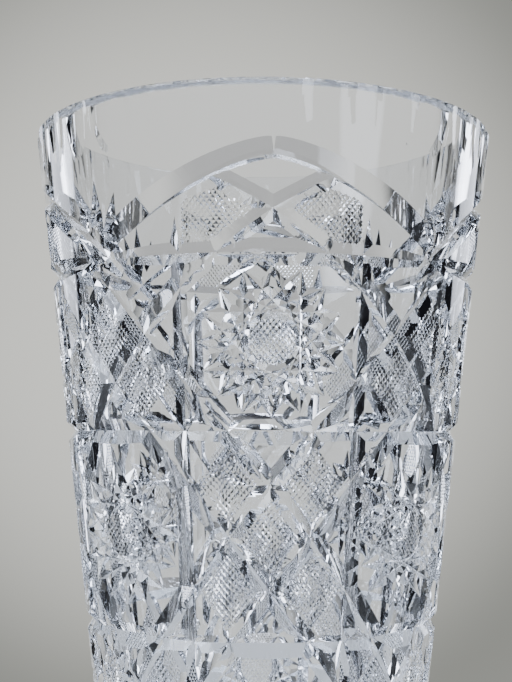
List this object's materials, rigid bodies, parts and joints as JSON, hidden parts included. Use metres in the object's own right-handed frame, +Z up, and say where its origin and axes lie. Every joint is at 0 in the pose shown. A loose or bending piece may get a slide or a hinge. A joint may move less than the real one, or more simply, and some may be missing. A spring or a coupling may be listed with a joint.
{
  "type": "cut crystal vase",
  "caption": "Tall tapered vase of thick clear glass with a wheel-cut pattern of mitres, stars and arches, thumb-cut rim and solid base.",
  "frame": {"origin": "centre of the foot's resting face", "axes": "+Z up along the vase's axis, -Y towards the middle of a front panel of the cut pattern"},
  "size_m": [0.1592, 0.1592, 0.3],
  "materials": {
    "crystal": "polished cut crystal"
  },
  "bodies": {
    "root": {"vase_body": "crystal"}
  },
  "joints": []
}
